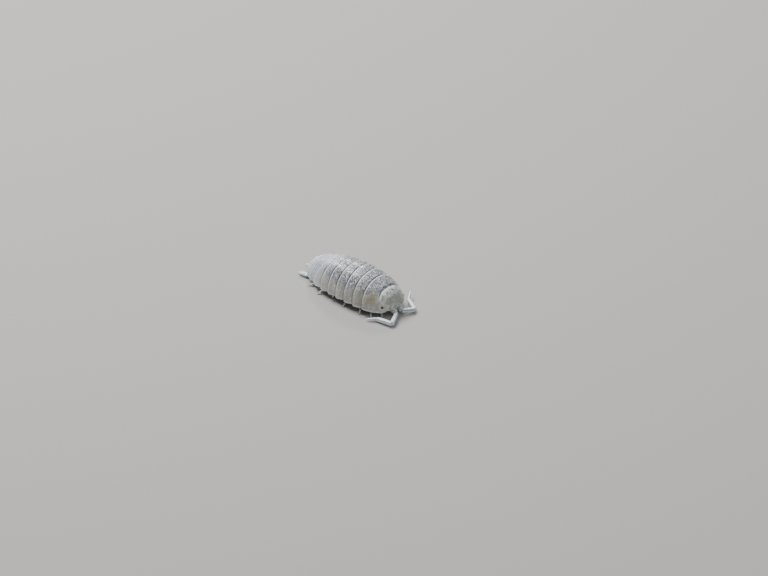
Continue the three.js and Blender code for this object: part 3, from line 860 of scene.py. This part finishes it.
# %% Tail limbs
TAIL_LIMB = {"right": (-1, -0.12, -0.05), "left": (1, 0.06, -0.03)}
for side, (sign, reach, out) in TAIL_LIMB.items():
    branches = [
        [((-2.11, sign * 0.24, 0.125), 0.07, 0.04), ((-2.2, sign * 0.265, 0.125), 0.085, 0.048),
         ((-2.33, sign * 0.295, 0.13), 0.12, 0.055), ((-2.42, sign * 0.31, 0.135), 0.09, 0.045)],
        [((-2.36, sign * 0.33, 0.135), 0.045, 0.04),
         ((-2.5 - reach * 0.3, sign * (0.36 + out * 0.3), 0.135), 0.07, 0.055),
         ((-2.7 - reach * 0.6, sign * (0.385 + out * 0.6), 0.12), 0.06, 0.045),
         ((-2.86 - reach, sign * (0.4 + out), 0.1), 0.028, 0.022),
         ((-2.925 - reach, sign * (0.405 + out), 0.096), 0.008, 0.008)],
        [((-2.28, sign * 0.25, 0.125), 0.035, 0.03), ((-2.42, sign * 0.215, 0.12), 0.04, 0.032),
         ((-2.56, sign * 0.205, 0.11), 0.034, 0.03), ((-2.68, sign * 0.21, 0.1), 0.022, 0.02),
         ((-2.755, sign * 0.21, 0.095), 0.007, 0.007)],
    ]
    limb = join([tube("branch", stations, around=24, steps=6) for stations in branches], "tail_limb_" + side)
    finish_piece(limb, SHELL, "shell", "uropod_" + side)
    HAIRY += [(tube_shape(stations), 40, 0.035) for stations in branches]

# %% [markdown]
# ## Soft underside
# Under the plates the body is one soft pale skin with a shallow fold at each ring. Five pairs of thin
# flaps, its gills, overlap under the tail. A skin for each ring would show seams between them, so one grid
# is rolled up along the whole body, a little inside the plates, and joined with the flaps.

# %% Belly skin
SKIN_FRONT = 1.97
SKIN_LENGTH = 4.3
FOLDS = [1.42, 0.96, 0.49, 0.05, -0.38, -0.78, -1.15, -1.29, -1.43, -1.64, -1.85, -2.06]
UNDERSIDE = [(1.0, 0.03), (0.93, 0.06), (0.84, 0.15), (0.7, 0.185), (0.5, 0.15), (0.25, 0.12), (0.0, 0.112)]


def under_rise(f):
    for (far, high), (near, low) in zip(UNDERSIDE, UNDERSIDE[1:]):
        if f >= near:
            return low + (high - low) * min((f - near) / (far - near), 1)
    return UNDERSIDE[-1][1]


def belly_at(u, v):
    x = SKIN_FRONT - SKIN_LENGTH * u
    closing = 1 - 0.8 * smoothstep(abs(2 * u - 1), 0.9, 1.0)
    fold = sum(math.exp(-(((x - at) / 0.025) ** 2)) for at in FOLDS) * 0.012
    half = (half_width(x) - 0.105) * 0.99 * closing
    if v < 0.5:
        f = 4 * v - 1
        z = margin(x) + (back(x) - margin(x)) * under_rise(abs(f)) + fold
        return Vector((x, f * half, z))
    f = 3 - 4 * v
    return Vector((x, f * half, margin(x) + (back(x) - margin(x)) * (0.24 + 0.25 * (1 - f * f)) * closing))


belly = grid("belly", 150, 72, lambda u, v: place(*belly_at(u, v)))
edit(belly, close_up)
flaps = []
for pair in range(5):
    x, wide = -1.28 - pair * 0.17, 0.32 - pair * 0.03
    for sign in (-1, 1):
        stations = [((x + 0.06, sign * wide * 0.55, 0.32), wide * 0.48, 0.02),
                    ((x - 0.1, sign * wide * 0.58, 0.29), wide * 0.54, 0.018),
                    ((x - 0.2, sign * wide * 0.56, 0.262), wide * 0.4, 0.014),
                    ((x - 0.235, sign * wide * 0.54, 0.25), wide * 0.12, 0.006)]
        flaps.append(tube("flap", stations, around=24, steps=5))
finish_piece(join([belly] + flaps, "belly_skin"), BELLY, "belly", "pleopods")

# %% [markdown]
# ## Mouth
# Under the face sit a lip plate, two jaws with brown tips and a pair of flat mouth legs that close over
# them. Two tiny inner feelers stand between the bases of the large ones. The photographed animal hides all
# of it, so it stays simple: spheres squeezed to blunt pebbles, and short tubes for the feelers.


# %% Mouth
def pebble(name, middle, size, slope=0.0):
    piece = ball(name, 24, 14)
    for vert in piece.data.vertices:
        x, y, z = [math.copysign(abs(c) ** 0.85, c) for c in vert.co]
        vert.co = place(middle[0] + x * size[0], middle[1] + y * size[1], middle[2] + z * size[2] + x * slope)
    return piece


mouth = [pebble("lip_base", (2.4, 0, 0.285), (0.09, 0.17, 0.07))]
mouth.append(pebble("lip", (2.42, 0, 0.22), (0.05, 0.12, 0.05)))
for sign in (-1, 1):
    mouth.append(pebble("jaw", (2.28, sign * 0.17, 0.25), (0.12, 0.085, 0.08), 0.01))
    mouth.append(pebble("mouth_leg", (2.13, sign * 0.1, 0.165), (0.2, 0.09, 0.03), 0.03))
    mouth.append(pebble("mouth_leg_end", (2.33, sign * 0.07, 0.175), (0.07, 0.045, 0.025), 0.01))
    stations = [((2.49, sign * 0.06, 0.3), 0.03), ((2.53, sign * 0.065, 0.27), 0.026),
                ((2.56, sign * 0.07, 0.235), 0.02), ((2.57, sign * 0.07, 0.2), 0.008)]
    mouth.append(tube("small_feeler", stations, around=12, steps=3))
finish_piece(join(mouth, "mouth"), BELLY, "belly", "mouthparts")
jaws = [pebble("jaw_tip", (2.385, sign * 0.045, 0.19), (0.03, 0.035, 0.022)) for sign in (-1, 1)]
finish_piece(join(jaws, "jaw_tips"), CLAW, "limb")

# %% [markdown]
# ## Scales and hairs
# Thousands of upright fan-shaped scales stand on the back and the head and give it its powdery sparkle, and
# fine hairs stand on the limbs. Particles could scatter them, but joined meshes export as they are. A scale
# is one thin closed fan and a hair one long pyramid, copied point by point. Each copy also gets a tiny
# patch of a texture map at the place of its root on the unwrapped shell, so that a baked colour matches the
# shell there.

# %% Joined small shapes
MAP_PATCH = 0.003


def surface(at, u, v):
    spot = at(u, v)
    along = at(min(u + 0.01, 1), v) - at(max(u - 0.01, 0), v)
    across = at(u, min(v + 0.004, 1)) - at(u, max(v - 0.004, 0))
    normal = along.cross(across).normalized()
    return spot, along.normalized(), normal


def joined(name, copies, points, faces, finish, slot):
    verts, polys, patches, marks = [], [], [], []
    for spot, way, side, normal, size, (map_u, map_v), mark in copies:
        first = len(verts)
        for a, b, c in points:
            verts.append(place(*(spot + side * a * size + way * b * size + normal * c * size)))
            patches.append((map_u + MAP_PATCH * a, map_v + MAP_PATCH * (b - 0.5)))
            marks.append(mark)
        polys += [[first + i for i in face] for face in faces]
    mesh = bpy.data.meshes.new(name)
    mesh.from_pydata(verts, [], polys)
    layer = mesh.uv_layers.new(name="OFBake")
    for loop in mesh.loops:
        layer.data[loop.index].uv = patches[loop.vertex_index]
    piece = bpy.data.objects.new(name, mesh)
    set_marks(piece, marks)
    bpy.context.collection.objects.link(piece)
    face_out(piece)
    finish_piece(piece, finish, slot)


FAN = [(-0.14, 0), (0.14, 0), (0.46, 0.72), (0.27, 0.95), (0, 1.0), (-0.27, 0.95), (-0.46, 0.72)]
FAN_POINTS = [(a, b, 0.0) for a, b in FAN] + [(a, b, 0.13) for a, b in FAN]
FAN_FACES = [list(range(6, -1, -1)), list(range(7, 14))]
FAN_FACES += [[i, (i + 1) % 7, 7 + (i + 1) % 7, 7 + i] for i in range(7)]


def fan_copy(spot, back_way, normal, size, tilt, spot_on_map, mark):
    turn = random.uniform(-0.35, 0.35)
    side = normal.cross(back_way).normalized()
    back_way = (back_way * math.cos(turn) + side * math.sin(turn)).normalized()
    side = normal.cross(back_way).normalized()
    way = back_way * math.cos(tilt) + normal * math.sin(tilt)
    return spot - way * size * 0.15, way, side, side.cross(way), size, spot_on_map, mark


# %% Scales of the back
SPACING = 0.08
body_scales = []
for at, first_u, length, mark in COATED:
    rows = max(int((1 - first_u) * length / SPACING), 1)
    for row in range(rows + 1):
        edge_row = row == rows
        u = 0.985 if edge_row else first_u + (1 - first_u) * (row + 0.8) / (rows + 0.8)
        arc = sum((at(u, (i + 1) / 40) - at(u, i / 40)).length for i in range(40))
        count = int(arc / (SPACING * (0.62 if edge_row else 1)))
        for i in range(count):
            v = (i + 0.5 + 0.5 * (row % 2) + random.uniform(-0.25, 0.25)) / (count + 0.5)
            if not 0.004 < v < 0.996:
                continue
            jitter = 0 if edge_row else random.uniform(-0.25, 0.25) * SPACING / length
            spot, back_way, normal = surface(at, u + jitter, v)
            if normal.dot(spot - Vector((spot.x, 0, 0.3))) < 0:
                normal = -normal
            size = random.uniform(0.022, 0.03) if edge_row else random.uniform(0.03, 0.042)
            tilt = math.radians(random.uniform(2, 12) if edge_row else random.uniform(22, 50))
            spot_on_map = ((2.6 - spot.x) / 5.2, v)
            body_scales.append(fan_copy(spot, back_way, normal, size, tilt, spot_on_map, mark(u + jitter, v)))
front_scales = [scale for scale in body_scales if scale[0].x > HIGHEST_X]
rear_scales = [scale for scale in body_scales if scale[0].x <= HIGHEST_X]
joined("scales_back_front", front_scales, FAN_POINTS, FAN_FACES, SHELL, "shell")
joined("scales_back_rear", rear_scales, FAN_POINTS, FAN_FACES, SHELL, "shell")
print(len(body_scales), "scales on the back")

# %% Scales of the head
HEAD_ROOTS = 900
head_scales = []
for i in range(HEAD_ROOTS):
    height = 1 - 2 * (i + 0.5) / HEAD_ROOTS
    turn = math.pi * (3 - math.sqrt(5)) * i
    d = Vector((math.sqrt(1 - height**2) * math.cos(turn), math.sqrt(1 - height**2) * math.sin(turn), height))
    spot = head_point(d)
    near_eye = min((spot - eye).length for eye in eye_middles) < 0.085
    if d.x < 0.12 or spot.z < 0.42 or near_eye:
        continue
    widths = (HEAD["reach"], HEAD["half"], HEAD["top"])
    normal = Vector([way / width**0.5 for way, width in zip(d, widths)]).normalized()
    back_way = (Vector((-1, 0, 0)) - normal * -normal.x).normalized()
    size = random.uniform(0.032, 0.044)
    spot_on_map = (0.5 + math.atan2(d.y, d.x) / 6.3, 0.5 + math.asin(d.z) / 3.2)
    tilt = math.radians(random.uniform(20, 45))
    head_scales.append(fan_copy(spot, back_way, normal, size, tilt, spot_on_map, head_mark(spot)))
joined("scales_head", head_scales, FAN_POINTS, FAN_FACES, HEAD_SHELL, "shell")
print(len(head_scales), "scales on the head")

# %% Hairs of the limbs
HAIR_POINTS = [(-0.07, 0, -0.04), (0.07, 0, -0.04), (0, 0, 0.08), (0, 1, 0)]
HAIR_FACES = [[0, 1, 2], [0, 3, 1], [1, 3, 2], [2, 3, 0]]
hairs = []
for number, (at, count, size) in enumerate(HAIRY):
    for i in range(count):
        u = 0.06 + 0.9 * (i + random.random()) / count
        v = (i * 0.618 + random.uniform(-0.05, 0.05)) % 1.0
        spot, along, normal = surface(at, u, v)
        if normal.dot(spot - (at(u, v) + at(u, (v + 0.5) % 1)) / 2) < 0:
            normal = -normal
        way = (along + normal * random.uniform(0.5, 1.1)).normalized()
        side = way.cross(normal).normalized()
        length = size * random.uniform(0.7, 1.25)
        if (spot + way * length).z < 0.004:
            continue
        spot_on_map = ((number + 0.1 + 0.8 * u) / len(HAIRY), v)
        hairs.append((spot - way * length * 0.15, way, side, side.cross(way), length, spot_on_map, (0, 0)))
joined("limb_hairs", hairs, HAIR_POINTS, HAIR_FACES, LIMB, "limb")
print(len(hairs), "hairs on the limbs")
